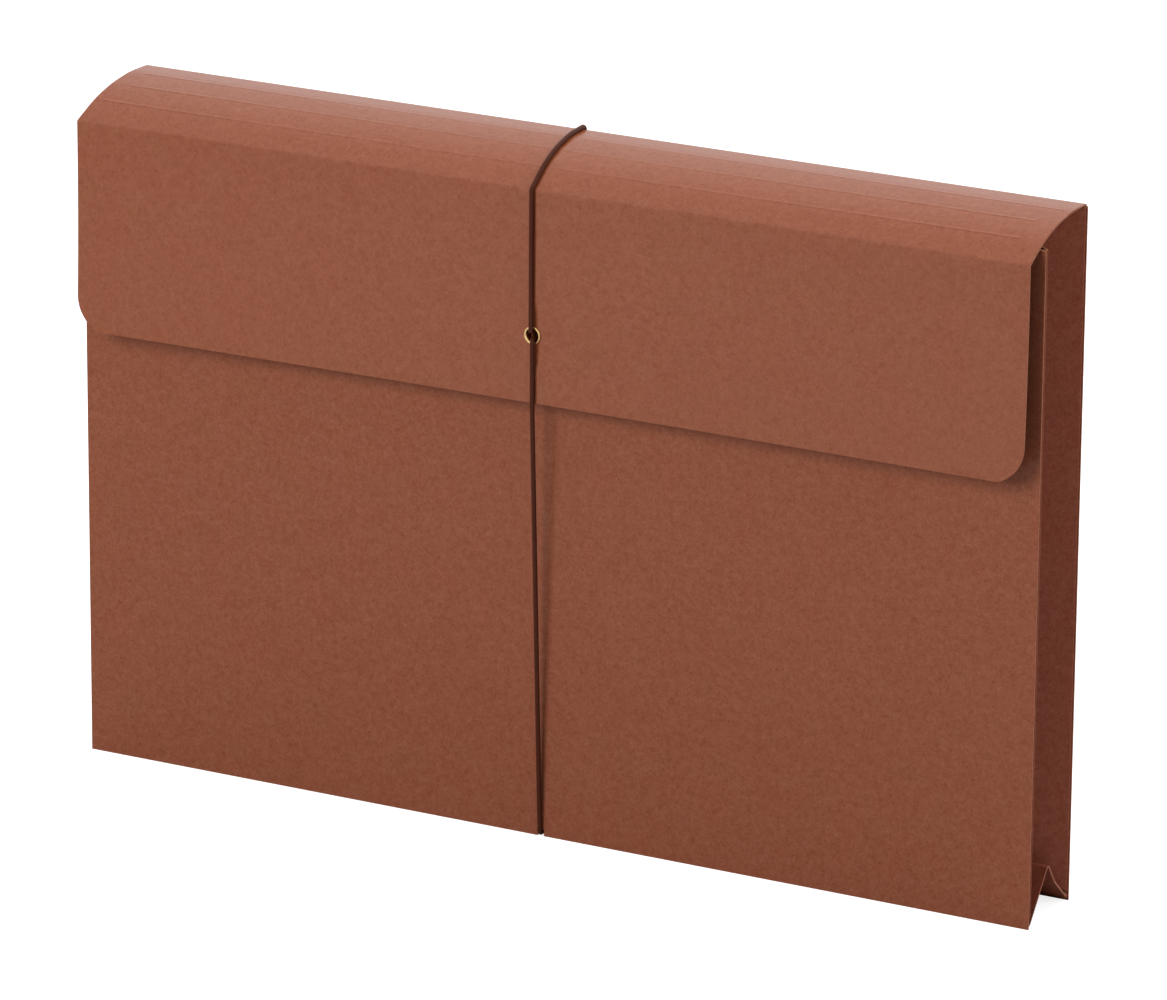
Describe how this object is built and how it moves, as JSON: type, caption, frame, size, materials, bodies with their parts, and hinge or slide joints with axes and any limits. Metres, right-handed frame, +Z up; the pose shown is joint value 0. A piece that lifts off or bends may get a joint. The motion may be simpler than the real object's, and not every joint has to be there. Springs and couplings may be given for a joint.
{
  "type": "expanding file wallet",
  "caption": "Expanding file wallet of stiff red-brown paper with folding side and bottom gussets, a scored fold-over flap and an elastic cord looped from a brass eyelet.",
  "frame": {"origin": "centre of the footprint of the whole object, on the surface that the panels' lower edges stand on", "axes": "+X along the wallet's width to the right seen from the flap side, +Y from the flap side to the back, +Z up"},
  "size_m": [0.381, 0.0472, 0.2565],
  "materials": {
    "panel_paper": "matt red-brown fibre board",
    "flap_paper": "matt red-brown fibre board, scored",
    "gusset_paper": "matt red-brown folding paper",
    "elastic": "dark brown covered elastic cord",
    "brass": "polished brass"
  },
  "bodies": {
    "back_panel": {"back_panel": "panel_paper", "right_rear_tab": "gusset_paper", "left_rear_tab": "gusset_paper", "bottom_rear_tab": "gusset_paper"},
    "right_gusset_rear": {"right_gusset_rear": "gusset_paper"},
    "right_gusset_front": {"right_gusset_front": "gusset_paper"},
    "front_panel": {"front_panel": "panel_paper", "right_front_tab": "gusset_paper", "left_front_tab": "gusset_paper", "bottom_front_tab": "gusset_paper"},
    "left_gusset_rear": {"left_gusset_rear": "gusset_paper"},
    "left_gusset_front": {"left_gusset_front": "gusset_paper"},
    "bottom_gusset_rear": {"bottom_gusset_rear": "gusset_paper"},
    "bottom_gusset_front": {"bottom_gusset_front": "gusset_paper"},
    "flap_strip_1": {"flap_strip_1": "flap_paper"},
    "flap_strip_2": {"flap_strip_2": "flap_paper"},
    "flap_strip_3": {"flap_strip_3": "flap_paper"},
    "flap_strip_4": {"flap_strip_4": "flap_paper"},
    "flap_front": {"flap_front": "flap_paper", "eyelet": "brass", "elastic_cord": "elastic", "cord_knot": "elastic"}
  },
  "joints": [
    {"name": "gusset_fold", "type": "hinge", "parent": "back_panel", "child": "right_gusset_rear", "pos_m": [0.1896, 0.01955, 0], "axis": [0, 0, 1], "range_deg": [-37.38, 0]},
    {"name": "right_valley", "type": "hinge", "parent": "right_gusset_rear", "child": "right_gusset_front", "pos_m": [0.17306, 0.0044, 0], "axis": [0, 0, 1], "range_deg": [0, 76.25]},
    {"name": "right_front_crease", "type": "hinge", "parent": "right_gusset_front", "child": "front_panel", "pos_m": [0.1896, -0.01075, 0], "axis": [0, 0, 1], "range_deg": [-38.12, 0]},
    {"name": "left_rear_crease", "type": "hinge", "parent": "back_panel", "child": "left_gusset_rear", "pos_m": [-0.1896, 0.01955, 0], "axis": [0, 0, 1], "range_deg": [0, 38.12]},
    {"name": "left_valley", "type": "hinge", "parent": "left_gusset_rear", "child": "left_gusset_front", "pos_m": [-0.17306, 0.0044, 0], "axis": [0, 0, 1], "range_deg": [-76.25, 0]},
    {"name": "bottom_rear_crease", "type": "hinge", "parent": "back_panel", "child": "bottom_gusset_rear", "pos_m": [0, 0.01855, 0.0009], "axis": [1, 0, 0], "range_deg": [-38.12, 0]},
    {"name": "bottom_ridge", "type": "hinge", "parent": "bottom_gusset_rear", "child": "bottom_gusset_front", "pos_m": [0, 0.0044, 0.01777], "axis": [1, 0, 0], "range_deg": [0, 76.25]},
    {"name": "flap_open", "type": "hinge", "parent": "back_panel", "child": "flap_strip_1", "pos_m": [0, 0.02105, 0.254], "axis": [-1, 0, 0], "range_deg": [0, 180], "deforming": ["elastic_cord"]},
    {"name": "flap_score_1", "type": "hinge", "parent": "flap_strip_1", "child": "flap_strip_2", "pos_m": [0, 0.0102, 0.254], "axis": [-1, 0, 0], "range_deg": [0, 20]},
    {"name": "flap_score_2", "type": "hinge", "parent": "flap_strip_2", "child": "flap_strip_3", "pos_m": [0, -0.00049, 0.25211], "axis": [-1, 0, 0], "range_deg": [0, 18]},
    {"name": "flap_score_3", "type": "hinge", "parent": "flap_strip_3", "child": "flap_strip_4", "pos_m": [0, -0.01076, 0.24858], "axis": [-1, 0, 0], "range_deg": [0, 20]},
    {"name": "flap_front_crease", "type": "hinge", "parent": "flap_strip_4", "child": "flap_front", "pos_m": [0, -0.02025, 0.24332], "axis": [-1, 0, 0], "range_deg": [0, 122]}
  ],
  "couplings": [
    {"joint": "right_valley", "follows": "gusset_fold", "ratio": -2},
    {"joint": "right_front_crease", "follows": "gusset_fold", "ratio": 1},
    {"joint": "left_rear_crease", "follows": "gusset_fold", "ratio": -1},
    {"joint": "left_valley", "follows": "gusset_fold", "ratio": 2},
    {"joint": "bottom_rear_crease", "follows": "gusset_fold", "ratio": 1},
    {"joint": "bottom_ridge", "follows": "gusset_fold", "ratio": -2},
    {"joint": "flap_score_1", "follows": "flap_open", "ratio": 0.11111},
    {"joint": "flap_score_2", "follows": "flap_open", "ratio": 0.1},
    {"joint": "flap_score_3", "follows": "flap_open", "ratio": 0.11111},
    {"joint": "flap_front_crease", "follows": "flap_open", "ratio": 0.67778}
  ]
}
